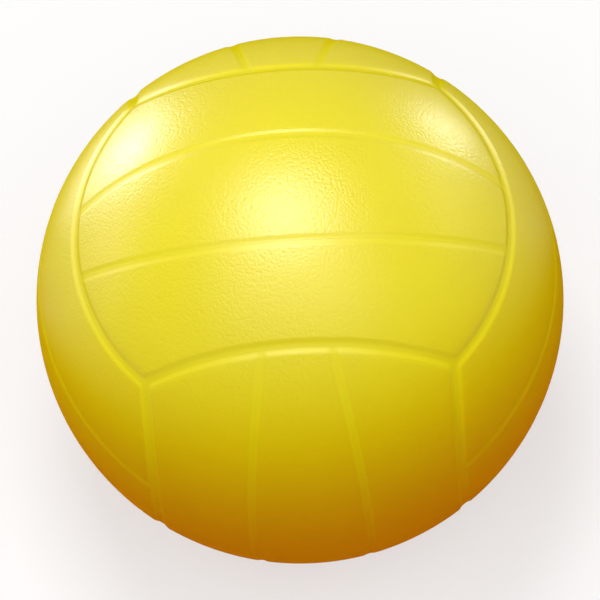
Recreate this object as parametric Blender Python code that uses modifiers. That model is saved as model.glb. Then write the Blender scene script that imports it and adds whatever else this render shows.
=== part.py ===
"""Volleyball: eighteen cover panels, in six groups of three strips, on a wound and inflated carcass.

Metres, +Z up, origin at the centre of the ball. The six groups face along the axes. The strips of a group
run along one axis, and those of the groups beside it are turned by a right angle, so that the ends of a
group meet the long edges of its neighbours. The valve is at the back, on +Y, and the ball rests on a small
flat at the bottom.
"""

import math

import bmesh
import bpy
from mathutils import Matrix, Vector

# Ball and cover
BALL_DIAMETER = 0.210
PANEL_THICKNESS = 0.0010
PANEL_EDGE_BEVEL = 0.0007
GROOVE_WIDTH = 0.0030
INNER_SEAM_ANGLE = math.radians(12.7)
REST_FLAT_DEPTH = 0.0004

# Layers under the cover, and the gap left between two pieces that touch
CARCASS_THICKNESS = 0.0007
WINDING_THICKNESS = 0.0004
BLADDER_THICKNESS = 0.0007
CONTACT_GAP = 0.0003

# Valve: a flanged neck bonded inside the bladder, and the headed plug in its bore
NEEDLE_HOLE_RADIUS = 0.0010
NEEDLE_HOLE_FLOOR = 0.0050
FUNNEL_FLARE = 0.0008
FUNNEL_DEPTH = 0.0015
CORE_WALL = 0.0025
CORE_TIP = 0.0020
CORE_END_CHAMFER = 0.0006
CORE_HEAD_LIP = 0.0010
CORE_HEAD_THICKNESS = 0.0012
NECK_WALL = 0.0012
NECK_LENGTH = 0.0180
MOUTH_RECESS = 0.0006
FLANGE_WIDTH = 0.0090
FLANGE_THICKNESS = 0.0015

# Fineness of the meshes
CELLS_ALONG = 14
CELLS_ACROSS = 4
SHELL_SUBDIVISIONS = 4
TURNED_STEPS = 20
FLANGE_RINGS = 3
MOST_BEVEL_SHARE = 0.8
CUTTER_MARGIN = 0.010
MERGE_DISTANCE = 0.00001

BALL_RADIUS = BALL_DIAMETER / 2
CORE_RADIUS = NEEDLE_HOLE_RADIUS + CORE_WALL
CORE_HEAD_RADIUS = CORE_RADIUS + CORE_HEAD_LIP
NECK_RADIUS = CORE_HEAD_RADIUS + CONTACT_GAP + NECK_WALL
# Distances from the centre of the ball, along the valve's axis
MOUTH = BALL_RADIUS - MOUTH_RECESS
NECK_END = MOUTH - NECK_LENGTH
CORE_END = NECK_END - CORE_TIP
# Turns local +Z to the valve's axis, +Y
TO_VALVE_AXIS = -math.pi / 2
# The facets of what is turned about the valve's axis straddle the edges of the layers' facets round it
HALF_TURNED_STEP = math.pi / TURNED_STEPS
HALF_GROOVE_ANGLE = GROOVE_WIDTH / BALL_DIAMETER
# The edges of all groups lie in planes at this angle from the middle of the ball, through a cube's corners
GROUP_EDGE_ANGLE = math.asin(1 / math.sqrt(3))

# Outward direction of each group, and the direction that its strips run in
GROUPS = {
    "top": (Vector((0, 0, 1)), Vector((1, 0, 0))),
    "bottom": (Vector((0, 0, -1)), Vector((1, 0, 0))),
    "front": (Vector((0, -1, 0)), Vector((0, 0, 1))),
    "back": (Vector((0, 1, 0)), Vector((0, 0, 1))),
    "right": (Vector((1, 0, 0)), Vector((0, 1, 0))),
    "left": (Vector((-1, 0, 0)), Vector((0, 1, 0))),
}
# Names of the strips on the minus and plus side of a group, by the axis that the group is stacked along
SIDE_NAMES = (("left", "right"), ("front", "back"), ("lower", "upper"))


def clear_scene():
    """Remove every object of the scene that the script starts in."""
    for obj in list(bpy.data.objects):
        bpy.data.objects.remove(obj)


def new_collection(name):
    """Return a new collection linked to the scene."""
    collection = bpy.data.collections.new(name)
    bpy.context.scene.collection.children.link(collection)
    return collection


def new_material(name, colour, roughness):
    """Return a non-metallic Principled material."""
    material = bpy.data.materials.new(name)
    material.use_nodes = True
    shader = material.node_tree.nodes["Principled BSDF"]
    shader.inputs["Base Color"].default_value = (*colour, 1)
    shader.inputs["Roughness"].default_value = roughness
    shader.inputs["Metallic"].default_value = 0
    return material


def new_object(name, mesh, collection):
    """Return a new object with this mesh, in this collection."""
    obj = bpy.data.objects.new(name, mesh)
    collection.objects.link(obj)
    return obj


def mesh_from_bmesh(name, bm, material):
    """Return a smooth-shaded mesh made from a bmesh, which is then freed."""
    mesh = bpy.data.meshes.new(name)
    bm.to_mesh(mesh)
    bm.free()
    mesh.shade_smooth()
    mesh.materials.append(material)
    return mesh


def facet_share(mesh):
    """Return how near the centre a round mesh's flat faces come, as a share of its vertices' distance."""
    corners = mesh.vertices
    return min(face.normal.dot(face.center) / corners[face.vertices[0]].co.length for face in mesh.polygons)


def underside_radius(mesh):
    """Return how near the centre of the ball the underside of a panel comes."""
    undersides = (-face.normal.dot(face.center) for face in mesh.polygons)
    return min(distance for distance in undersides if distance > BALL_RADIUS / 2)


def strip_point(near, far, along, across):
    """Return the point of the ball at a place on a strip that faces +Z and runs along X.

    near and far are the planes of the strip's long edges, as (offset, slope) in y = offset + slope * z.
    along goes from -1 to 1 between the strip's ends, and across from 0 to 1 between its edges.
    """
    offset = near[0] + (far[0] - near[0]) * across
    slope = near[1] + (far[1] - near[1]) * across
    length = math.hypot(1, slope)
    distance = offset / length
    ring_radius = math.sqrt(BALL_RADIUS**2 - distance**2)
    end_height = BALL_RADIUS * math.sin(GROUP_EDGE_ANGLE + HALF_GROOVE_ANGLE)
    end_angle = math.acos((end_height * length + slope * distance) / ring_radius)
    rise = ring_radius * math.cos(along * end_angle)
    return Vector((
        ring_radius * math.sin(along * end_angle),
        (distance + slope * rise) / length,
        (rise - slope * distance) / length,
    ))


def panel_mesh(name, near, far, material):
    """Return a panel that faces +Z: a grid bent onto the ball between two edge planes, thickened inwards."""
    bm = bmesh.new()
    bmesh.ops.create_grid(bm, x_segments=CELLS_ALONG, y_segments=CELLS_ACROSS, size=1)
    for vertex in bm.verts:
        vertex.co = strip_point(near, far, vertex.co.x, (vertex.co.y + 1) / 2)
    bm.normal_update()
    rim = [edge for edge in bm.edges if edge.is_boundary]
    bmesh.ops.solidify(bm, geom=bm.faces[:], thickness=PANEL_THICKNESS)
    bevel = min(PANEL_EDGE_BEVEL, PANEL_THICKNESS * MOST_BEVEL_SHARE)
    bmesh.ops.bevel(
        bm, geom=rim, offset=bevel, offset_type="OFFSET", segments=1, profile=0.5, affect="EDGES"
    )
    return mesh_from_bmesh(name, bm, material)


def add_panel(name, mesh, group, turn, collection):
    """Add one cover panel to its group, turned about the group's outward direction."""
    panel = new_object(name, mesh, collection)
    panel.parent = group
    panel.rotation_euler = (0, 0, turn)
    return panel


def add_group(name, outward, along, middle_mesh, outer_mesh, collection):
    """Add a group's empty and its three panels, and return the panels by name."""
    across = outward.cross(along)
    group = new_object("group_" + name, None, collection)
    group.rotation_euler = Matrix((along, across, outward)).transposed().to_euler()
    axis = max(range(3), key=lambda i: abs(across[i]))
    minus, plus = SIDE_NAMES[axis] if across[axis] > 0 else reversed(SIDE_NAMES[axis])
    strips = ((minus, outer_mesh, math.pi), ("middle", middle_mesh, 0), (plus, outer_mesh, 0))
    names = [f"panel_{name}_{side}" for side, _, _ in strips]
    return {
        panel: add_panel(panel, mesh, group, turn, collection)
        for panel, (_, mesh, turn) in zip(names, strips)
    }


def add_cover(material, collection):
    """Add the eighteen panels, and return them by name."""
    inner_edge = (0, math.tan(INNER_SEAM_ANGLE - HALF_GROOVE_ANGLE))
    other_inner_edge = (0, -inner_edge[1])
    outer_near_edge = (0, math.tan(INNER_SEAM_ANGLE + HALF_GROOVE_ANGLE))
    outer_far_edge = (BALL_RADIUS * math.sin(GROUP_EDGE_ANGLE - HALF_GROOVE_ANGLE), 0)
    middle_mesh = panel_mesh("middle_panel", other_inner_edge, inner_edge, material)
    outer_mesh = panel_mesh("outer_panel", outer_near_edge, outer_far_edge, material)
    panels = {}
    for name, (outward, along) in GROUPS.items():
        panels |= add_group(name, outward, along, middle_mesh, outer_mesh, collection)
    return panels


def add_shell(name, radius, thickness, material, collection):
    """Add a round shell, thickened inwards from this radius, with a corner of facets on the valve's axis."""
    bm = bmesh.new()
    bmesh.ops.create_icosphere(bm, subdivisions=SHELL_SUBDIVISIONS, radius=radius)
    shell = new_object(name, mesh_from_bmesh(name, bm, material), collection)
    shell.rotation_euler = (TO_VALVE_AXIS, 0, 0)
    solidify = shell.modifiers.new("thickness", "SOLIDIFY")
    solidify.thickness = thickness
    solidify.offset = -1
    return shell


def add_turned(name, outline, closed, material, collection):
    """Add a piece turned about the valve's axis from (radius, distance from the ball's centre) points.

    The outline runs down the outer side. It is closed for a ring, and open from axis to axis for a plug.
    """
    points = [(radius, 0, height) for radius, height in outline]
    edges = [(i, i + 1) for i in range(len(points) - 1)]
    if closed:
        edges.append((len(points) - 1, 0))
    mesh = bpy.data.meshes.new(name)
    mesh.from_pydata(points, edges, [])
    mesh.materials.append(material)
    turned = new_object(name, mesh, collection)
    turned.rotation_euler = (TO_VALVE_AXIS, HALF_TURNED_STEP, 0)
    screw = turned.modifiers.new("turning", "SCREW")
    screw.steps = screw.render_steps = TURNED_STEPS
    screw.merge_threshold = MERGE_DISTANCE
    screw.use_merge_vertices = True
    return turned


def valve_seat_outline(flange_dome):
    """Return the section of the valve seat, whose flange follows a dome of this radius."""
    ledge = MOUTH - CORE_HEAD_THICKNESS - CONTACT_GAP
    bore = CORE_RADIUS + CONTACT_GAP
    counterbore = CORE_HEAD_RADIUS + CONTACT_GAP
    rings = [NECK_RADIUS + FLANGE_WIDTH * i / FLANGE_RINGS for i in range(FLANGE_RINGS + 1)]
    inner_dome = flange_dome - FLANGE_THICKNESS
    outside = [(radius, math.sqrt(flange_dome**2 - radius**2)) for radius in rings]
    inside = [(radius, math.sqrt(inner_dome**2 - radius**2)) for radius in reversed(rings)]
    bore_side = [(bore, NECK_END), (bore, ledge), (counterbore, ledge), (counterbore, MOUTH)]
    return [(NECK_RADIUS, MOUTH), *outside, *inside, (NECK_RADIUS, NECK_END), *bore_side]


def valve_core_outline():
    """Return the section of the valve core: a headed plug with a blind needle hole and a funnel to it."""
    hole_end = CORE_END + NEEDLE_HOLE_FLOOR
    head_base = MOUTH - CORE_HEAD_THICKNESS
    return [
        (0, hole_end),
        (NEEDLE_HOLE_RADIUS, hole_end),
        (NEEDLE_HOLE_RADIUS, MOUTH - FUNNEL_DEPTH),
        (NEEDLE_HOLE_RADIUS + FUNNEL_FLARE, MOUTH),
        (CORE_HEAD_RADIUS, MOUTH),
        (CORE_HEAD_RADIUS, head_base),
        (CORE_RADIUS, head_base),
        (CORE_RADIUS, CORE_END + CORE_END_CHAMFER),
        (CORE_RADIUS - CORE_END_CHAMFER, CORE_END),
        (0, CORE_END),
    ]


def add_cutter(name, mesh_from, collection):
    """Add a hidden cutter whose mesh a function builds in a bmesh."""
    bm = bmesh.new()
    mesh_from(bm)
    mesh = bpy.data.meshes.new(name)
    bm.to_mesh(mesh)
    bm.free()
    cutter = new_object(name, mesh, collection)
    cutter.hide_render = True
    cutter.display_type = "WIRE"
    return cutter


def add_valve_hole_cutter(collection):
    """Add the cutter that lets the valve's neck through every layer, along +Y."""
    radius = NECK_RADIUS + CONTACT_GAP
    depth = NECK_LENGTH + 2 * CUTTER_MARGIN

    def cylinder(bm):
        bmesh.ops.create_cone(
            bm, cap_ends=True, segments=TURNED_STEPS, radius1=radius, radius2=radius, depth=depth
        )

    cutter = add_cutter("valve_hole_cutter", cylinder, collection)
    cutter.rotation_euler = (TO_VALVE_AXIS, HALF_TURNED_STEP, 0)
    cutter.location.y = BALL_RADIUS + CUTTER_MARGIN - depth / 2
    return cutter


def add_rest_flat_cutter(collection):
    """Add the cutter that flattens the bottom of the ball."""
    size = BALL_RADIUS
    cutter = add_cutter("rest_flat_cutter", lambda bm: bmesh.ops.create_cube(bm, size=size), collection)
    cutter.location.z = REST_FLAT_DEPTH - BALL_RADIUS - size / 2
    return cutter


def cut(obj, cutter):
    """Cut a cutter's shape out of an object."""
    boolean = obj.modifiers.new(cutter.name, "BOOLEAN")
    boolean.operation = "DIFFERENCE"
    boolean.object = cutter


def main():
    """Build the ball."""
    clear_scene()
    parts = new_collection("volleyball")
    cutters = new_collection("cutters")

    cover_vinyl = new_material("cover_vinyl", (0.80, 0.68, 0.05), 0.42)
    carcass_rubber = new_material("carcass_rubber", (0.74, 0.61, 0.04), 0.50)
    nylon_thread = new_material("nylon_thread", (0.80, 0.79, 0.74), 0.70)
    butyl_rubber = new_material("butyl_rubber", (0.03, 0.03, 0.03), 0.60)
    valve_rubber = new_material("valve_rubber", (0.05, 0.05, 0.05), 0.55)

    panels = add_cover(cover_vinyl, parts)
    carcass_radius = min(underside_radius(panel.data) for panel in panels.values()) - CONTACT_GAP
    carcass = add_shell("carcass", carcass_radius, CARCASS_THICKNESS, carcass_rubber, parts)
    winding_radius = carcass_radius - CARCASS_THICKNESS - CONTACT_GAP
    winding = add_shell("winding", winding_radius, WINDING_THICKNESS, nylon_thread, parts)
    bladder_radius = winding_radius - WINDING_THICKNESS - CONTACT_GAP
    bladder = add_shell("bladder", bladder_radius, BLADDER_THICKNESS, butyl_rubber, parts)

    flange_dome = (bladder_radius - BLADDER_THICKNESS) * facet_share(bladder.data) - CONTACT_GAP
    add_turned("valve_seat", valve_seat_outline(flange_dome), True, valve_rubber, parts)
    add_turned("valve_core", valve_core_outline(), False, valve_rubber, parts)

    valve_hole = add_valve_hole_cutter(cutters)
    for layer in (panels["panel_back_middle"], carcass, winding, bladder):
        cut(layer, valve_hole)
    cut(panels["panel_bottom_middle"], add_rest_flat_cutter(cutters))


if __name__ == "__main__":
    main()
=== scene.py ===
"""Dresses the volleyball: grained vinyl panels that meet in smooth moulded grooves, and a rubber valve.

Metres, +Z up, with the origin at the centre of the ball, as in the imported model. Each piece stands for one
solid of the model, and its object sits at the origin with its place in its mesh.
"""

from __future__ import annotations

import logging
import math
from collections.abc import Callable, Iterable, Mapping
from dataclasses import dataclass, field
from enum import Enum
from typing import Any

import bmesh
import bpy
from mathutils import Matrix, Vector

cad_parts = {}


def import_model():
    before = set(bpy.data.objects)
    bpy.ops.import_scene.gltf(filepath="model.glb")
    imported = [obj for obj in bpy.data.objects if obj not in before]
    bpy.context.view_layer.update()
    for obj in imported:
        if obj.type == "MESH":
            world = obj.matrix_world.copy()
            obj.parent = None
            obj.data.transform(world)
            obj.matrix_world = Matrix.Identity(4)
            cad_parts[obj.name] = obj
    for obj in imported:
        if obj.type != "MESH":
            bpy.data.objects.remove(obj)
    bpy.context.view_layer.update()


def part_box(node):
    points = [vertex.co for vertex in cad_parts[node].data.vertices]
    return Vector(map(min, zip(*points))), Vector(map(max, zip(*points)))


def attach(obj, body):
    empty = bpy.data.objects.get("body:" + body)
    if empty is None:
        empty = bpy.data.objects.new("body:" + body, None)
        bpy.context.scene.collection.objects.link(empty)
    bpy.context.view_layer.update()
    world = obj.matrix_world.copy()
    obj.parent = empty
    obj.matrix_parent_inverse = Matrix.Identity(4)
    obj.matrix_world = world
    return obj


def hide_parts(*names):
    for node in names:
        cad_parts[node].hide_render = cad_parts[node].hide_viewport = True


LOG = logging.getLogger("volleyball")

Colour = tuple[float, float, float]
Direction = tuple[float, float, float]
Span = tuple[float, float]
Outline = list[tuple[float, float]]
Placer = Callable[[Vector], Vector]
Edges = list[bmesh.types.BMEdge]

# Turns what is made about +Z to the valve's axis, +Y
TO_VALVE_AXIS = Matrix.Rotation(-math.pi / 2, 4, "X")
MERGE_DISTANCE = 1e-6
SHARP_ANGLE = math.radians(50)
WHITE = (1.0, 1.0, 1.0, 1.0)
NOISE_MEAN = 0.5


class Body(Enum):
    """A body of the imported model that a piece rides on."""

    BALL = "ball"
    CORE = "valve_core"


class Slot(Enum):
    """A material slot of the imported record."""

    COVER = "cover"
    CARCASS = "carcass"
    WINDING = "winding"
    BLADDER = "bladder"
    VALVE = "valve"


class Strip(Enum):
    """A panel's place among the three of its group, by its side of the group's middle line."""

    MINUS = -1
    MIDDLE = 0
    PLUS = 1


class Group(Enum):
    """A group of three panels: the direction that it faces, and the one that its strips run in."""

    TOP = ((0, 0, 1), (1, 0, 0))
    BOTTOM = ((0, 0, -1), (1, 0, 0))
    FRONT = ((0, -1, 0), (0, 0, 1))
    BACK = ((0, 1, 0), (0, 0, 1))
    RIGHT = ((1, 0, 0), (0, 1, 0))
    LEFT = ((-1, 0, 0), (0, 1, 0))

    @property
    def axes(self) -> tuple[Vector, Vector, Vector]:
        """The directions along the strips, across them and outwards."""
        outward, along = (Vector(direction) for direction in self.value)
        return along, outward.cross(along), outward

    def turn(self, strip: Strip) -> Matrix:
        """Return the rotation of one of the group's strips.

        Args:
            strip: The strip's place in the group.

        Returns:
            The turn from a strip that faces +Z and runs along X, on the plus side or in the middle.
        """
        group_turn = Matrix(self.axes).transposed().to_4x4()
        if strip is Strip.MINUS:
            return group_turn @ Matrix.Rotation(math.pi, 4, "Z")
        return group_turn

    def panel(self, strip: Strip) -> str:
        """Return the name of a panel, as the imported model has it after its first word.

        Args:
            strip: The panel's place in the group.

        Returns:
            The group's name and the name of the strip's side, such as top_front.
        """
        if strip is Strip.MIDDLE:
            return f"{self.name.lower()}_middle"
        across = self.axes[1] * strip.value
        sides = (("left", "right"), ("front", "back"), ("lower", "upper"))
        axis = max(range(3), key=lambda i: abs(across[i]))
        return f"{self.name.lower()}_{sides[axis][across[axis] > 0]}"


class Value:
    """A socket with one number for each point of a surface, which Python's operators work on."""

    def __init__(self, graph: Graph, socket: bpy.types.NodeSocket) -> None:
        """Wrap an output socket of a graph's node."""
        self.graph = graph
        self.socket = socket

    def __add__(self, other: Value | float) -> Value:
        """Return the sum."""
        return self.graph.math("ADD", self, other)

    def __radd__(self, other: float) -> Value:
        """Return the sum."""
        return self.graph.math("ADD", other, self)

    def __sub__(self, other: Value | float) -> Value:
        """Return the difference."""
        return self.graph.math("SUBTRACT", self, other)

    def __rsub__(self, other: float) -> Value:
        """Return the difference from a number."""
        return self.graph.math("SUBTRACT", other, self)

    def __mul__(self, other: Value | float) -> Value:
        """Return the product."""
        return self.graph.math("MULTIPLY", self, other)

    def __rmul__(self, other: float) -> Value:
        """Return the product."""
        return self.graph.math("MULTIPLY", other, self)

    def __or__(self, other: Value | float) -> Value:
        """Return the larger of the two."""
        return self.graph.math("MAXIMUM", self, other)

    def __ror__(self, other: float) -> Value:
        """Return the larger of the two."""
        return self.graph.math("MAXIMUM", other, self)


class Graph:
    """The nodes of one material, or of the world."""

    def __init__(self, tree: bpy.types.NodeTree) -> None:
        """Start with no nodes."""
        self.tree = tree
        tree.nodes.clear()

    def node(
        self,
        kind: str,
        settings: Mapping[str, Any] | None = None,
        sockets: Mapping[str | int, Any] | None = None,
    ) -> bpy.types.Node:
        """Add a node.

        Args:
            kind: The node's type.
            settings: The node's properties, which are set first.
            sockets: Numbers, colours or links for its input sockets, by name or index.

        Returns:
            The new node.
        """
        node = self.tree.nodes.new(kind)
        for name, setting in (settings or {}).items():
            setattr(node, name, setting)
        for key, value in (sockets or {}).items():
            self.feed(node.inputs[key], value)
        return node

    def feed(self, socket: bpy.types.NodeSocket, value: Any) -> None:
        """Link a socket to another one, or set the number or colour that it holds.

        Args:
            socket: The input socket.
            value: A wrapped or plain output socket, or what the input holds.
        """
        if isinstance(value, Value):
            value = value.socket
        if isinstance(value, bpy.types.NodeSocket):
            self.tree.links.new(value, socket)
        else:
            socket.default_value = value

    def math(self, operation: str, first: Value | float, second: Value | float) -> Value:
        """Return the result of a Math node."""
        node = self.node("ShaderNodeMath", {"operation": operation}, {0: first, 1: second})
        return Value(self, node.outputs[0])

    def place(self) -> bpy.types.NodeSocket:
        """Return the place on the piece, in metres."""
        return self.node("ShaderNodeTexCoord").outputs["Object"]

    def distance_from_centre(self, place: bpy.types.NodeSocket) -> Value:
        """Return how far a place is from the centre of the ball."""
        node = self.node("ShaderNodeVectorMath", {"operation": "LENGTH"}, {0: place})
        return Value(self, node.outputs["Value"])

    def along(self, place: bpy.types.NodeSocket, direction: Direction) -> Value:
        """Return how far a place lies along a direction."""
        node = self.node("ShaderNodeVectorMath", {"operation": "DOT_PRODUCT"}, {0: place, 1: direction})
        return Value(self, node.outputs["Value"])

    def step(self, value: Value, low: float, high: float) -> Value:
        """Return a smooth step.

        Args:
            value: What is compared.
            low: Where the step starts, at 0.
            high: Where the step ends, at 1.

        Returns:
            A number from 0 to 1.
        """
        node = self.node(
            "ShaderNodeMapRange",
            {"interpolation_type": "SMOOTHSTEP"},
            {"Value": value, "From Min": low, "From Max": high},
        )
        return Value(self, node.outputs["Result"])

    def noise(self, place: bpy.types.NodeSocket, size: float, detail: float = 2.0) -> Value:
        """Return cloudy noise.

        Args:
            place: Where it is read.
            size: The size of its largest clouds, in metres.
            detail: How many finer layers it has.

        Returns:
            A number around a half.
        """
        node = self.node("ShaderNodeTexNoise", sockets={"Vector": place, "Scale": 1 / size, "Detail": detail})
        return Value(self, node.outputs["Fac"])

    def pebbles(self, place: bpy.types.NodeSocket, size: float) -> Value:
        """Return rounded pebbles.

        Args:
            place: Where they are read.
            size: The mean width of a pebble, in metres.

        Returns:
            A height, which falls from the middle of each pebble to the crease around it.
        """
        node = self.node("ShaderNodeTexVoronoi", {"feature": "F1"}, {"Vector": place, "Scale": 1 / size})
        off_middle = Value(self, node.outputs["Distance"])
        return 1 - off_middle * off_middle

    def warp(self, place: bpy.types.NodeSocket, size: float, reach: float) -> bpy.types.NodeSocket:
        """Return a place that is pushed about, so that a pattern read there loses its regular shapes.

        Args:
            place: The place.
            size: The size of the bends, in metres.
            reach: How far a point may be pushed, in metres.

        Returns:
            The socket of the new place.
        """
        cloud = self.node("ShaderNodeTexNoise", sockets={"Vector": place, "Scale": 1 / size})
        pushed = self.node(
            "ShaderNodeVectorMath",
            {"operation": "MULTIPLY_ADD"},
            {0: cloud.outputs["Color"], 1: (reach, reach, reach), 2: place},
        )
        return pushed.outputs["Vector"]

    def seen_white(self) -> Value:
        """Return where the camera sees the studio, also mirrored or through glass.

        Returns:
            1 there, and 0 where the studio only lights the ball.
        """
        rays = self.node("ShaderNodeLightPath").outputs
        camera, glossy, transmission = (
            Value(self, rays[f"Is {kind} Ray"]) for kind in ("Camera", "Glossy", "Transmission")
        )
        return camera | glossy | transmission

    def mix(self, share: Value | float, first: Any, second: Any) -> bpy.types.NodeSocket:
        """Return a mix of two colours.

        Args:
            share: How much there is of the second colour.
            first: A colour or a socket.
            second: A colour or a socket.

        Returns:
            The socket of the mixed colour.
        """
        colours = [(*c, 1) if isinstance(c, tuple) else c for c in (first, second)]
        node = self.node("ShaderNodeMix", {"data_type": "RGBA"}, {0: share, 6: colours[0], 7: colours[1]})
        return node.outputs[2]

    def bump(self, height: Value, depth: float) -> bpy.types.NodeSocket:
        """Return the normal of a surface with a relief.

        Args:
            height: The relief, as a share of its depth.
            depth: How high 1 is, in metres.

        Returns:
            The socket of the normal.
        """
        return self.node("ShaderNodeBump", sockets={"Height": height, "Distance": depth}).outputs["Normal"]

    def slant(self) -> Value:
        """Return how far the surface is turned from the line of sight: 0 is head on and 1 is edge on."""
        return Value(self, self.node("ShaderNodeLayerWeight").outputs["Facing"])

    def blend(self, share: Value, first: bpy.types.Node, second: bpy.types.Node) -> bpy.types.Node:
        """Return a blend of two shaders.

        Args:
            share: How much there is of the second shader.
            first: A shader node.
            second: A shader node.

        Returns:
            The shader node of the blend.
        """
        shaders = {0: share, 1: first.outputs[0], 2: second.outputs[0]}
        return self.node("ShaderNodeMixShader", sockets=shaders)

    def show(self, shader: bpy.types.Node, output: str = "ShaderNodeOutputMaterial") -> None:
        """End the graph in this shader."""
        self.node(output, sockets={"Surface": shader.outputs[0]})


def new_material(name: str) -> tuple[bpy.types.Material, Graph]:
    """Return a new material and its graph, which has no nodes yet.

    Args:
        name: The material's name.

    Returns:
        The material and the graph.
    """
    material = bpy.data.materials.new(name)
    material.use_nodes = True
    return material, Graph(material.node_tree)


@dataclass(frozen=True)
class Ball:
    """The sizes that every piece of the ball is made to."""

    radius: float
    rest_level: float
    carcass_radius: float
    winding_radius: float
    bladder_radius: float
    valve_mouth: float
    valve_core_end: float
    valve_neck_end: float
    valve_hole_radius: float = 0.0063
    bladder_thickness: float = 0.0007

    @classmethod
    def from_frame(cls) -> Ball:
        """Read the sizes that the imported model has.

        Returns:
            The sizes.
        """
        return cls(
            radius=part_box("panel_right_middle")[1].x,
            rest_level=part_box("panel_bottom_middle")[0].z,
            carcass_radius=-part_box("carcass")[0].y,
            winding_radius=-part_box("winding")[0].y,
            bladder_radius=-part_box("bladder")[0].y,
            valve_mouth=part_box("valve_core")[1].y,
            valve_core_end=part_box("valve_core")[0].y,
            valve_neck_end=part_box("valve_seat")[0].y,
        )


def add_piece(name: str, bm: bmesh.types.BMesh, body: Body, slot: Slot, node: str) -> bpy.types.Object:
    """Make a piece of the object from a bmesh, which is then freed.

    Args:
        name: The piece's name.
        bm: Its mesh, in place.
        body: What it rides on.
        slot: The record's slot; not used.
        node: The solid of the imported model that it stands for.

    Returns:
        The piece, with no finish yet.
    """
    mesh = bpy.data.meshes.new(name)
    bm.to_mesh(mesh)
    bm.free()
    mesh.shade_smooth()
    mesh.set_sharp_from_angle(angle=SHARP_ANGLE)
    piece = bpy.data.objects.new(name, mesh)
    bpy.context.scene.collection.objects.link(piece)
    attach(piece, body.value)
    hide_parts(node)
    LOG.info("%s: %d faces, on %s, in place of %s", name, len(mesh.polygons), body.value, node)
    return piece


def of_kind(parts: Iterable[Any], kind: type) -> list[Any]:
    """Return the parts of one kind, such as edges, among those that a mesh operator made."""
    return [part for part in parts if isinstance(part, kind)]


def coat(pieces: Iterable[bpy.types.Object], material: bpy.types.Material) -> None:
    """Give pieces their finish.

    Args:
        pieces: The pieces.
        material: The finish.
    """
    for piece in pieces:
        piece.data.materials.append(material)
        LOG.info("%s: finished in %s", piece.name, material.name)


@dataclass(frozen=True)
class VinylFinish:
    """Moulded vinyl: a pebbled grain on the panels' faces, and smooth grooves between them.

    Seen at a slant the pebbles hide their own glossy tops, so the gloss fades out there. On the lower part
    use has scuffed the gloss away, and the yellow is painted deeper, to amber, as painted shade.
    """

    name: str
    colour: Colour
    deep_colour: Colour
    # Painted shade: the amber that the lower part is painted towards, in place of shade and warm bounce light
    painted_shade_colour: Colour
    groove_colour: Colour
    roughness: float
    groove_roughness: float
    gloss: float
    grain_size: float
    grain_depth: float
    # The bends and the fine noise of the grain, in widths of a pebble
    bend_size: float = 2.0
    fine_size: float = 0.5
    fine_share: float = 0.25
    mean_height: float = 0.7
    cloud_size: float = 0.045
    cloud_detail: float = 3.0
    cloud_span: Span = (0.3, 0.7)
    satin_spread: float = 0.10
    # Where a groove ends and where a face begins, as shares of the groove's depth
    face_span: Span = (0.75, 0.15)
    # Where the gloss starts to fade and where it is gone, and how much sooner that is in a groove
    slant_span: Span = (0.27, 1.02)
    groove_slant: float = 0.12
    # From the worn and shaded side to the other one, with the places of wear and of painted shade along it in
    # metres
    wear_and_shade_axis: Direction = (-0.06, 0.36, 0.93)
    wear_and_shade_spread: float = 0.012
    scuff_span: Span = (0.014, 0.06)
    # Painted shade: the yellow is painted amber below this span, deepest at the bottom
    painted_shade_span: Span = (-0.055, 0.056)
    # A groove gets as little painted shade as a face that lies this much further along
    groove_shade_offset: float = 0.010

    def grain(self, graph: Graph, place: bpy.types.NodeSocket) -> Value:
        """Return the height of the grain.

        Args:
            graph: The material's graph.
            place: Where the grain is read.

        Returns:
            A number around 0, so that the grain runs out at a groove without a step.
        """
        bent = graph.warp(place, self.grain_size * self.bend_size, self.grain_size)
        fine = graph.noise(place, self.grain_size * self.fine_size)
        height = graph.pebbles(bent, self.grain_size) * (1 - self.fine_share) + fine * self.fine_share
        return height - self.mean_height

    def material(self, radius: float, groove_depth: float) -> bpy.types.Material:
        """Return the material.

        Args:
            radius: How far the panels' faces are from the centre of the ball.
            groove_depth: How far the shallowest grooves lie below the faces.

        Returns:
            The material.
        """
        material, graph = new_material(self.name)
        place = graph.place()
        low, high = (radius - share * groove_depth for share in self.face_span)
        on_face = graph.step(graph.distance_from_centre(place), low, high)
        in_groove = 1 - on_face
        clouds = graph.noise(place, self.cloud_size, self.cloud_detail)
        height = graph.along(place, self.wear_and_shade_axis) + (clouds - NOISE_MEAN) * self.wear_and_shade_spread
        face_colour = graph.mix(graph.step(clouds, *self.cloud_span), self.colour, self.deep_colour)
        unshaded_colour = graph.mix(on_face, self.groove_colour, face_colour)
        # Painted shade: the share of the yellow left as it is, which falls to amber towards the lower part
        unshaded = graph.step(height + in_groove * self.groove_shade_offset, *self.painted_shade_span)
        satin = self.groove_roughness + on_face * (self.roughness - self.groove_roughness)
        surface = {
            "Base Color": graph.mix(unshaded, self.painted_shade_colour, unshaded_colour),
            "Roughness": satin + (clouds - NOISE_MEAN) * self.satin_spread,
            "Normal": graph.bump(self.grain(graph, place) * on_face, self.grain_depth),
        }
        glossy, matt = (
            graph.node("ShaderNodeBsdfPrincipled", sockets={**surface, "Specular IOR Level": gloss})
            for gloss in (self.gloss, 0.0)
        )
        scuffed = 1 - graph.step(height, *self.scuff_span)
        slant = graph.slant() + in_groove * self.groove_slant
        graph.show(graph.blend(graph.step(slant, *self.slant_span) | scuffed, glossy, matt))
        return material


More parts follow.
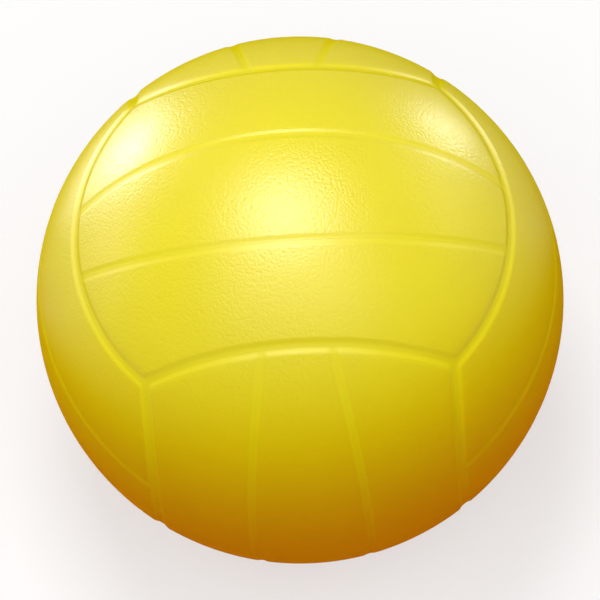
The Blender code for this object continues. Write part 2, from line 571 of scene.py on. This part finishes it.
@dataclass(frozen=True)
class RubberFinish:
    """Moulded rubber, with a dusty bloom and a slightly uneven surface."""

    name: str
    colour: Colour
    bloom_colour: Colour
    roughness: float
    bloom_size: float
    bloom_share: float = 0.35
    bloom_detail: float = 5.0
    bloom_span: Span = (0.4, 0.8)
    satin_spread: float = 0.2
    # The size of the bumps, as a share of the bloom's size, and their height in metres
    bump_share: float = 0.125
    bump_height: float = 0.00004

    def material(self) -> bpy.types.Material:
        """Return the material.

        Returns:
            The material.
        """
        material, graph = new_material(self.name)
        place = graph.place()
        bloom = graph.noise(place, self.bloom_size, self.bloom_detail)
        dusty = graph.step(bloom, *self.bloom_span) * self.bloom_share
        bumps = graph.noise(place, self.bloom_size * self.bump_share)
        shader = graph.node(
            "ShaderNodeBsdfPrincipled",
            sockets={
                "Base Color": graph.mix(dusty, self.colour, self.bloom_colour),
                "Roughness": self.roughness + (bloom - NOISE_MEAN) * self.satin_spread,
                "Normal": graph.bump(bumps, self.bump_height),
            },
        )
        graph.show(shader)
        return material


@dataclass(frozen=True)
class ThreadFinish:
    """Nylon thread wound round the ball in several directions, over latex."""

    name: str
    thread_colour: Colour
    latex_colour: Colour
    pitch: float
    thread_width: float
    directions: tuple[Direction, ...]
    # The share of a thread's width that is its crown, between its rounded edges
    crown_share: float = 0.5
    # The length of a bend in the thread, in pitches
    bend_pitches: float = 6.0
    roughness: float = 0.7
    thread_sheen: float = 0.2
    relief: float = 0.0002

    def material(self) -> bpy.types.Material:
        """Return the material.

        Returns:
            The material.
        """
        material, graph = new_material(self.name)
        place = graph.place()
        waver = graph.noise(place, self.pitch * self.bend_pitches) * self.pitch
        half_width = self.thread_width / 2
        threads = None
        for direction in self.directions:
            off_thread = graph.math("PINGPONG", graph.along(place, direction) + waver, self.pitch / 2)
            lay = 1 - graph.step(off_thread, half_width * self.crown_share, half_width)
            threads = lay if threads is None else threads | lay
        shader = graph.node(
            "ShaderNodeBsdfPrincipled",
            sockets={
                "Base Color": graph.mix(threads, self.latex_colour, self.thread_colour),
                "Roughness": self.roughness - threads * self.thread_sheen,
                "Normal": graph.bump(threads, self.relief),
            },
        )
        graph.show(shader)
        return material


@dataclass(frozen=True)
class SeamPlan:
    """Where the seams run, for a group that faces +Z with its strips along X, on a ball of radius 1.

    The edges of the groups lie in planes square to the axes, through a cube's corners. The seams inside a
    group are great circles, which cross at the middles of the neighbouring groups.
    """

    inner_angle: float = math.radians(12.7)
    group_angle: float = math.asin(1 / math.sqrt(3))

    def edges(self, strip: Strip, inset: float) -> tuple[tuple[float, float], tuple[float, float]]:
        """Return the planes of a strip's long edges.

        Args:
            strip: The middle strip, or one on the plus side.
            inset: How far inside its seams the strip ends, as an angle.

        Returns:
            Each edge as (offset, slope) in y = offset + slope * z.
        """
        if strip is Strip.MIDDLE:
            slope = math.tan(self.inner_angle - inset)
            return (0, -slope), (0, slope)
        return (0, math.tan(self.inner_angle + inset)), (math.sin(self.group_angle - inset), 0)

    def point(self, strip: Strip, inset: float, along: float, across: float) -> Vector:
        """Return a point of a strip.

        Args:
            strip: The middle strip, or one on the plus side.
            inset: How far inside its seams the strip ends, as an angle.
            along: From -1 to 1 between the strip's ends.
            across: From 0 to 1 between its long edges.

        Returns:
            The direction of the point from the centre.
        """
        near, far = self.edges(strip, inset)
        offset = near[0] + (far[0] - near[0]) * across
        slope = near[1] + (far[1] - near[1]) * across
        length = math.hypot(1, slope)
        distance = offset / length
        ring_radius = math.sqrt(1 - distance**2)
        end_height = math.sin(self.group_angle + inset)
        angle = along * math.acos((end_height * length + slope * distance) / ring_radius)
        rise = ring_radius * math.cos(angle)
        return Vector((
            ring_radius * math.sin(angle),
            (distance + slope * rise) / length,
            (rise - slope * distance) / length,
        ))

    def distances(self, strip: Strip, point: Vector) -> tuple[list[float], list[float]]:
        """Return how far a point of a strip is from the seams round it.

        Args:
            strip: The middle strip, or one on the plus side.
            point: The point's direction from the centre.

        Returns:
            The angles to the seams at the group's edges, and to those inside the group.
        """
        ends = math.asin(point.z) - self.group_angle
        rise = math.sin(self.inner_angle) * point.z
        reach = math.cos(self.inner_angle) * point.y
        if strip is Strip.MIDDLE:
            return [ends], [math.asin(rise - reach), math.asin(rise + reach)]
        return [ends, self.group_angle - math.asin(point.y)], [math.asin(reach - rise)]


@dataclass(frozen=True)
class Groove:
    """The section of a moulded groove: a flat floor, and walls that curve up to the panels' faces."""

    depth: float
    floor_half_width: float
    half_width: float

    def depth_at(self, distance: float) -> float:
        """Return how deep the groove is at a point.

        Args:
            distance: How far the point is from the seam.

        Returns:
            A depth from 0, on the face, to the whole depth, on the floor.
        """
        inset = (self.half_width - distance) / (self.half_width - self.floor_half_width)
        inset = min(max(inset, 0.0), 1.0)
        return self.depth * inset * inset * (3 - 2 * inset)


@dataclass(frozen=True)
class Rows:
    """Rows of cells between two seams, crowded into a band along each seam, where the groove curves."""

    count: int
    band_count: int
    band_share: float

    def place(self, even: float) -> float:
        """Return where a row goes.

        Args:
            even: Its place among evenly spaced rows, from -1 to 1.

        Returns:
            Its place from -1 to 1 with the rows crowded.
        """
        inset = 1 - abs(even)
        band_inset = 2 * self.band_count / self.count
        if inset < band_inset:
            crowded = self.band_share * inset / band_inset
        else:
            crowded = 1 - (1 - self.band_share) * (1 - inset) / (1 - band_inset)
        return math.copysign(1 - crowded, even)


@dataclass
class Cover:
    """The eighteen vinyl panels, whose edges roll down to the seams."""

    ball: Ball
    seams: SeamPlan = SeamPlan()
    group_groove: Groove = Groove(depth=0.00068, floor_half_width=0.0006, half_width=0.0036)
    inner_groove: Groove = Groove(depth=0.00037, floor_half_width=0.0005, half_width=0.0027)
    rows_along: Rows = Rows(count=96, band_count=16, band_share=0.037)
    rows_across: Rows = Rows(count=64, band_count=22, band_share=0.26)
    seam_gap: float = 0.00004
    thickness: float = 0.0006
    valve_block_half: float = 0.0105
    valve_block_cuts: int = 2
    valve_rings: int = 4
    valve_lip_width: float = 0.0011
    valve_lip_drop: float = 0.0007
    valve_lip_rings: int = 6
    finish: VinylFinish = VinylFinish(
        name="cover_vinyl",
        colour=(0.84, 0.72, 0.004),
        deep_colour=(0.82, 0.69, 0.003),
        # painted shade: the amber that the lower part is painted
        painted_shade_colour=(0.78, 0.32, 0.003),
        groove_colour=(0.845, 0.725, 0.004),
        roughness=0.37,
        groove_roughness=0.42,
        gloss=0.5,
        grain_size=0.0012,
        grain_depth=0.000115,
    )
    pieces: list[bpy.types.Object] = field(default_factory=list)

    def depth_at(self, strip: Strip, direction: Vector) -> float:
        """Return how far the grooves sink a point of a strip.

        Args:
            strip: The middle strip, or one on the plus side.
            direction: The point's direction from the centre.

        Returns:
            The depth below the panel's face.
        """
        grooves = (self.group_groove, self.inner_groove)
        deepest = self.group_groove.depth
        face = 1.0
        for groove, angles in zip(grooves, self.seams.distances(strip, direction)):
            for angle in angles:
                face *= 1 - groove.depth_at(angle * self.ball.radius) / deepest
        return deepest * (1 - face)

    def sheet(self, strip: Strip) -> bmesh.types.BMesh:
        """Return the outer face of a panel that faces +Z, bent onto the ball.

        Args:
            strip: The middle strip, or one on the plus side.

        Returns:
            The open sheet.
        """
        bm = bmesh.new()
        counts = (self.rows_along.count, self.rows_across.count)
        bmesh.ops.create_grid(bm, x_segments=counts[0], y_segments=counts[1], size=1)
        inset = self.seam_gap / 2 / self.ball.radius
        for vert in bm.verts:
            across = (self.rows_across.place(vert.co.y) + 1) / 2
            direction = self.seams.point(strip, inset, self.rows_along.place(vert.co.x), across)
            vert.co = direction * (self.ball.radius - self.depth_at(strip, direction))
        return bm

    def draw_in(self, bm: bmesh.types.BMesh, rim: Edges, place: Placer) -> Edges:
        """Extrude a rim by one ring of faces.

        Args:
            bm: The mesh.
            rim: The edges of the rim.
            place: Gives the place of a new point from that of the old one.

        Returns:
            The edges of the new rim.
        """
        made = bmesh.ops.extrude_edge_only(bm, edges=rim)["geom"]
        for vert in of_kind(made, bmesh.types.BMVert):
            vert.co = place(vert.co)
        return of_kind(made, bmesh.types.BMEdge)

    def valve_rim(self, bm: bmesh.types.BMesh) -> Edges:
        """Return the edges round the gap in the middle of a sheet."""
        reach = 2 * self.valve_block_half
        return [edge for edge in bm.edges if edge.is_boundary and edge.verts[0].co.xy.length < reach]

    def open_valve_hole(self, bm: bmesh.types.BMesh) -> None:
        """Open a round hole with a rolled lip in the middle of a sheet.

        Args:
            bm: A sheet that faces +Z.
        """
        half = self.valve_block_half
        block = [face for face in bm.faces if max(map(abs, face.calc_center_median().xy)) < half]
        bmesh.ops.delete(bm, geom=block, context="FACES")
        cuts = self.valve_block_cuts
        cut = bmesh.ops.subdivide_edges(bm, edges=self.valve_rim(bm), cuts=cuts)["geom_inner"]
        for vert in of_kind(cut, bmesh.types.BMVert):
            vert.co = vert.co.normalized() * self.ball.radius
        rim = self.valve_rim(bm)
        hole_radius = self.ball.valve_hole_radius
        lip_radius = hole_radius + self.valve_lip_width
        lip_height = math.sqrt(self.ball.radius**2 - lip_radius**2)
        for rings_left in range(self.valve_rings, 0, -1):
            rim = self.draw_in(bm, rim, lambda point: self.towards_lip(point, lip_radius, 1 / rings_left))
        for step in range(1, self.valve_lip_rings + 1):
            angle = step / self.valve_lip_rings * math.pi / 2
            radius = hole_radius + self.valve_lip_width * (1 - math.sin(angle))
            height = lip_height - self.valve_lip_drop * (1 - math.cos(angle))
            rim = self.draw_in(bm, rim, lambda point: Vector((*(point.xy.normalized() * radius), height)))

    def towards_lip(self, point: Vector, lip_radius: float, share: float) -> Vector:
        """Return a point of the panel's face that lies nearer to the valve hole's lip.

        Args:
            point: A point of the face.
            lip_radius: The lip's distance from the valve's axis.
            share: How much of the way to go.

        Returns:
            The new point.
        """
        off_axis = point.xy.length + (lip_radius - point.xy.length) * share
        height = math.sqrt(self.ball.radius**2 - off_axis**2)
        return Vector((*(point.xy.normalized() * off_axis), height))

    def press_rest_flat(self, bm: bmesh.types.BMesh) -> None:
        """Flatten the middle of a sheet where the ball rests.

        Args:
            bm: A sheet that faces +Z.
        """
        level = (0, 0, -self.ball.rest_level)
        parts = bm.verts[:] + bm.edges[:] + bm.faces[:]
        cut = bmesh.ops.bisect_plane(bm, geom=parts, plane_co=level, plane_no=(0, 0, 1), clear_outer=True)
        bmesh.ops.edgeloop_fill(bm, edges=of_kind(cut["geom_cut"], bmesh.types.BMEdge))

    def panel(self, group: Group, strip: Strip) -> bmesh.types.BMesh:
        """Return a panel in its place.

        Args:
            group: The panel's group.
            strip: Its place in the group.

        Returns:
            The closed mesh.
        """
        bm = self.sheet(Strip.MIDDLE if strip is Strip.MIDDLE else Strip.PLUS)
        if (group, strip) == (Group.BACK, Strip.MIDDLE):
            self.open_valve_hole(bm)
        if (group, strip) == (Group.BOTTOM, Strip.MIDDLE):
            self.press_rest_flat(bm)
        bmesh.ops.recalc_face_normals(bm, faces=bm.faces[:])
        bmesh.ops.solidify(bm, geom=bm.faces[:], thickness=self.thickness)
        bmesh.ops.transform(bm, matrix=group.turn(strip), verts=bm.verts[:])
        return bm

    def build(self) -> None:
        """Make every panel."""
        for group in Group:
            for strip in Strip:
                name = group.panel(strip)
                bm = self.panel(group, strip)
                self.pieces.append(add_piece(f"cover_{name}", bm, Body.BALL, Slot.COVER, f"panel_{name}"))

    def dress(self) -> None:
        """Give every panel the same vinyl."""
        coat(self.pieces, self.finish.material(self.ball.radius, self.inner_groove.depth))


@dataclass
class Casing:
    """The round layers under the cover: carcass, thread winding and bladder, each open for the valve."""

    ball: Ball
    carcass_thickness: float = 0.0007
    winding_thickness: float = 0.0004
    segments: int = 96
    rings: int = 64
    carcass_finish: RubberFinish = RubberFinish(
        name="carcass_rubber",
        colour=(0.74, 0.56, 0.03),
        bloom_colour=(0.80, 0.68, 0.16),
        roughness=0.55,
        bloom_size=0.02,
    )
    winding_finish: ThreadFinish = ThreadFinish(
        name="nylon_thread",
        thread_colour=(0.82, 0.81, 0.76),
        latex_colour=(0.62, 0.52, 0.34),
        pitch=0.0032,
        thread_width=0.0012,
        directions=((0.53, 0.27, 0.80), (-0.76, 0.42, 0.50), (0.21, -0.88, 0.42)),
    )
    bladder_finish: RubberFinish = RubberFinish(
        name="butyl_rubber",
        colour=(0.030, 0.030, 0.032),
        bloom_colour=(0.10, 0.10, 0.10),
        roughness=0.6,
        bloom_size=0.015,
    )
    pieces: list[bpy.types.Object] = field(default_factory=list)

    def shell(self, radius: float, thickness: float) -> bmesh.types.BMesh:
        """Return a round shell with a hole on the valve's axis.

        Args:
            radius: Its outer radius.
            thickness: Its wall, measured inwards.

        Returns:
            The closed mesh.
        """
        bm = bmesh.new()
        bmesh.ops.create_uvsphere(bm, u_segments=self.segments, v_segments=self.rings, radius=radius)
        pole = max(bm.verts, key=lambda vert: vert.co.z)
        hole_radius = self.ball.valve_hole_radius
        height = math.sqrt(radius**2 - hole_radius**2)
        for vert in [edge.other_vert(pole) for edge in pole.link_edges]:
            vert.co = (*(vert.co.xy.normalized() * hole_radius), height)
        bmesh.ops.delete(bm, geom=[pole], context="VERTS")
        bm.normal_update()
        bmesh.ops.solidify(bm, geom=bm.faces[:], thickness=thickness)
        bmesh.ops.transform(bm, matrix=TO_VALVE_AXIS, verts=bm.verts[:])
        return bm

    def build(self) -> None:
        """Make the three layers, from the outside in."""
        ball = self.ball
        layers = (
            ("carcass_shell", ball.carcass_radius, self.carcass_thickness, Slot.CARCASS),
            ("thread_winding", ball.winding_radius, self.winding_thickness, Slot.WINDING),
            ("air_bladder", ball.bladder_radius, ball.bladder_thickness, Slot.BLADDER),
        )
        for name, radius, thickness, slot in layers:
            self.pieces.append(add_piece(name, self.shell(radius, thickness), Body.BALL, slot, slot.value))

    def dress(self) -> None:
        """Give each layer its own finish."""
        finishes = (self.carcass_finish, self.winding_finish, self.bladder_finish)
        for piece, finish in zip(self.pieces, finishes):
            coat([piece], finish.material())


@dataclass
class Valve:
    """The rubber valve: a flanged neck inside the bladder, and the headed core in its bore."""

    ball: Ball
    needle_hole_radius: float = 0.0010
    needle_hole_floor: float = 0.0050
    funnel_flare: float = 0.0008
    funnel_depth: float = 0.0015
    core_radius: float = 0.0035
    core_end_chamfer: float = 0.0006
    head_radius: float = 0.0045
    head_thickness: float = 0.0012
    clearance: float = 0.0003
    neck_radius: float = 0.0060
    flange_radius: float = 0.0150
    flange_thickness: float = 0.0015
    flange_rings: int = 6
    steps: int = 72
    rounding: float = 0.00028
    rounding_steps: int = 4
    corner_angle: float = math.radians(30)
    neck_finish: RubberFinish = RubberFinish(
        name="valve_neck_rubber",
        colour=(0.045, 0.045, 0.048),
        bloom_colour=(0.16, 0.155, 0.15),
        roughness=0.55,
        bloom_size=0.004,
    )
    core_finish: RubberFinish = RubberFinish(
        name="valve_core_rubber",
        colour=(0.06, 0.06, 0.062),
        bloom_colour=(0.19, 0.185, 0.18),
        roughness=0.5,
        bloom_size=0.003,
    )
    pieces: list[bpy.types.Object] = field(default_factory=list)

    def neck_outline(self) -> Outline:
        """Return the neck's section.

        Returns:
            Points as (radius, distance from the ball's centre), closed.
        """
        mouth = self.ball.valve_mouth
        end = self.ball.valve_neck_end
        ledge = mouth - self.head_thickness - self.clearance
        bore = self.core_radius + self.clearance
        counterbore = self.head_radius + self.clearance
        dome = self.ball.bladder_radius - self.ball.bladder_thickness - self.clearance
        inner_dome = dome - self.flange_thickness
        width = self.flange_radius - self.neck_radius
        rings = [self.neck_radius + width * i / self.flange_rings for i in range(self.flange_rings + 1)]
        return [
            (self.neck_radius, mouth),
            *((radius, math.sqrt(dome**2 - radius**2)) for radius in rings),
            *((radius, math.sqrt(inner_dome**2 - radius**2)) for radius in reversed(rings)),
            (self.neck_radius, end),
            (bore, end),
            (bore, ledge),
            (counterbore, ledge),
            (counterbore, mouth),
            (self.neck_radius, mouth),
        ]

    def core_outline(self) -> Outline:
        """Return the core's section.

        Returns:
            Points as (radius, distance from the ball's centre), from axis to axis.
        """
        mouth = self.ball.valve_mouth
        end = self.ball.valve_core_end
        return [
            (0, end + self.needle_hole_floor),
            (self.needle_hole_radius, end + self.needle_hole_floor),
            (self.needle_hole_radius, mouth - self.funnel_depth),
            (self.needle_hole_radius + self.funnel_flare, mouth),
            (self.head_radius, mouth),
            (self.head_radius, mouth - self.head_thickness),
            (self.core_radius, mouth - self.head_thickness),
            (self.core_radius, end + self.core_end_chamfer),
            (self.core_radius - self.core_end_chamfer, end),
            (0, end),
        ]

    def turned(self, outline: Outline) -> bmesh.types.BMesh:
        """Return a piece turned about the valve's axis, with its corners rounded.

        Args:
            outline: Its section, as (radius, distance from the ball's centre).

        Returns:
            The closed mesh.
        """
        bm = bmesh.new()
        verts = [bm.verts.new((radius, 0, height)) for radius, height in outline]
        edges = [bm.edges.new(pair) for pair in zip(verts, verts[1:])]
        bmesh.ops.spin(
            bm,
            geom=verts + edges,
            cent=(0, 0, 0),
            axis=(0, 0, 1),
            angle=2 * math.pi,
            steps=self.steps,
            use_merge=True,
        )
        bmesh.ops.remove_doubles(bm, verts=bm.verts[:], dist=MERGE_DISTANCE)
        bmesh.ops.recalc_face_normals(bm, faces=bm.faces[:])
        corners = [edge for edge in bm.edges if edge.calc_face_angle(0) > self.corner_angle]
        bmesh.ops.bevel(
            bm,
            geom=corners,
            offset=self.rounding,
            offset_type="OFFSET",
            affect="EDGES",
            segments=self.rounding_steps,
            profile=0.5,
            material=-1,
            clamp_overlap=True,
        )
        bmesh.ops.transform(bm, matrix=TO_VALVE_AXIS, verts=bm.verts[:])
        return bm

    def build(self) -> None:
        """Make the neck and the core."""
        neck = self.turned(self.neck_outline())
        core = self.turned(self.core_outline())
        self.pieces.append(add_piece("valve_neck", neck, Body.BALL, Slot.VALVE, "valve_seat"))
        self.pieces.append(add_piece("valve_plug", core, Body.CORE, Slot.VALVE, "valve_core"))

    def dress(self) -> None:
        """Give the neck and the core their rubbers."""
        for piece, finish in zip(self.pieces, (self.neck_finish, self.core_finish)):
            coat([piece], finish.material())


@dataclass(frozen=True)
class Softbox:
    """A rectangular lamp that faces the ball from one direction, and may light its gloss alone."""

    name: str
    direction: Direction
    distance: float
    width: float
    height: float
    brightness: float
    gloss_alone: bool = False

    def build(self) -> None:
        """Hang the lamp, with the power that its brightness takes over its area."""
        lamp = bpy.data.lights.new(self.name, "AREA")
        lamp.shape = "RECTANGLE"
        lamp.size = self.width
        lamp.size_y = self.height
        lamp.energy = self.brightness * math.pi * self.width * self.height
        towards = Vector(self.direction).normalized()
        hung = bpy.data.objects.new(self.name, lamp)
        hung.location = towards * self.distance
        hung.rotation_euler = towards.to_track_quat("Z", "Y").to_euler()
        hung.visible_camera = False
        hung.visible_diffuse = not self.gloss_alone
        bpy.context.scene.collection.objects.link(hung)


@dataclass
class Studio:
    """A pale floor, soft lamps and an even surround."""

    ball: Ball
    floor_size: float = 12.0
    floor_colour: Colour = (0.78, 0.58, 0.38)
    paper_colour: Colour = (0.42, 0.42, 0.42)
    paper_glow: float = 0.58
    surround_light: float = 0.16
    # Each lamp's name, direction, distance, width, height and brightness
    lamps: tuple[Softbox, ...] = (
        Softbox("overhead_softbox", (-0.05, 0.21, 0.976), 2.0, 0.7, 0.7, 11.2),
        Softbox("front_softbox", (0.0, -0.36, 0.933), 2.4, 3.0, 1.6, 2.05),
        Softbox("left_softbox", (-0.86, 0.49, 0.12), 1.6, 1.4, 0.45, 3.0),
        Softbox("right_softbox", (0.84, 0.40, 0.36), 1.6, 0.9, 0.55, 1.65),
        Softbox("overhead_glint", (-0.05, 0.21, 0.976), 2.0, 1.1, 1.1, 9.0, gloss_alone=True),
        Softbox("left_glint", (-0.66, 0.75, -0.03), 0.9, 0.24, 0.15, 40.0, gloss_alone=True),
        Softbox("low_left_glint", (-0.67, 0.71, -0.15), 0.3, 0.16, 0.11, 6.0, gloss_alone=True),
        Softbox("right_glint", (0.65, 0.76, -0.02), 0.9, 0.20, 0.15, 26.0, gloss_alone=True),
    )

    def floor_material(self) -> bpy.types.Material:
        """Return the floor's material.

        Returns:
            Pale wood, which the camera sees as white paper with a soft shadow.
        """
        material, graph = new_material("studio_floor")
        wood = graph.node("ShaderNodeBsdfDiffuse", sockets={"Color": (*self.floor_colour, 1)})
        paper = graph.node(
            "ShaderNodeBsdfPrincipled",
            sockets={
                "Base Color": (*self.paper_colour, 1),
                "Roughness": 1.0,
                "Specular IOR Level": 0.0,
                "Emission Color": WHITE,
                "Emission Strength": self.paper_glow,
            },
        )
        graph.show(graph.blend(graph.seen_white(), wood, paper))
        return material

    def build_floor(self) -> None:
        """Lay the floor at the level that the ball rests on."""
        bm = bmesh.new()
        bmesh.ops.create_grid(bm, x_segments=1, y_segments=1, size=self.floor_size / 2)
        bmesh.ops.translate(bm, verts=bm.verts[:], vec=(0, 0, self.ball.rest_level))
        mesh = bpy.data.meshes.new("studio_floor")
        bm.to_mesh(mesh)
        bm.free()
        mesh.materials.append(self.floor_material())
        floor = bpy.data.objects.new("studio_floor", mesh)
        bpy.context.scene.collection.objects.link(floor)

    def build_surround(self) -> None:
        """Light the room evenly, and show it white to the camera."""
        world = bpy.data.worlds.new("surround")
        world.use_nodes = True
        graph = Graph(world.node_tree)
        strength = self.surround_light + graph.seen_white() * (1 - self.surround_light)
        background = graph.node("ShaderNodeBackground", sockets={"Color": WHITE, "Strength": strength})
        graph.show(background, "ShaderNodeOutputWorld")
        bpy.context.scene.world = world

    def build(self) -> None:
        """Set up the floor, the lamps and the surround."""
        self.build_floor()
        self.build_surround()
        for lamp in self.lamps:
            lamp.build()
            LOG.info("%s hung", lamp.name)


@dataclass(frozen=True)
class Viewpoint:
    """Where the photograph was taken from, and how large the ball is in it."""

    azimuth: float = math.radians(3.11)
    elevation: float = math.radians(64.45)
    roll: float = math.radians(-6.46)
    distance_in_radii: float = 32.47
    outline_radius_px: float = 263.6
    frame_px: float = 600.0
    sensor_width: float = 36.0

    def axes(self) -> tuple[Vector, Vector, Vector]:
        """Return the camera's own directions.

        Returns:
            Its right, up and backward directions.
        """
        back = Vector((
            math.sin(self.azimuth) * math.cos(self.elevation),
            -math.cos(self.azimuth) * math.cos(self.elevation),
            math.sin(self.elevation),
        ))
        level_right = Vector((math.cos(self.azimuth), math.sin(self.azimuth), 0))
        level_up = back.cross(level_right)
        right = level_right * math.cos(self.roll) + level_up * math.sin(self.roll)
        return right, back.cross(right), back

    def build(self, ball: Ball) -> None:
        """Set up the camera.

        Args:
            ball: The ball's sizes.
        """
        focal_px = self.outline_radius_px * math.sqrt(self.distance_in_radii**2 - 1)
        camera = bpy.data.cameras.new("photo_camera")
        camera.sensor_width = self.sensor_width
        camera.lens = focal_px * self.sensor_width / self.frame_px
        right, up, back = self.axes()
        stand = bpy.data.objects.new("photo_camera", camera)
        turn = Matrix((right, up, back)).transposed().to_4x4()
        stand.matrix_world = Matrix.Translation(back * self.distance_in_radii * ball.radius) @ turn
        bpy.context.scene.collection.objects.link(stand)
        bpy.context.scene.camera = stand


def main() -> None:
    """Load the model, dress it and set up the studio."""
    logging.basicConfig(level=logging.INFO, format="%(message)s")
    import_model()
    ball = Ball.from_frame()
    Viewpoint().build(ball)
    for assembly in (Cover(ball), Casing(ball), Valve(ball)):
        assembly.build()
        assembly.dress()
    Studio(ball).build()
    bpy.context.scene.view_settings.view_transform = "Standard"


if __name__ == "__main__":
    main()
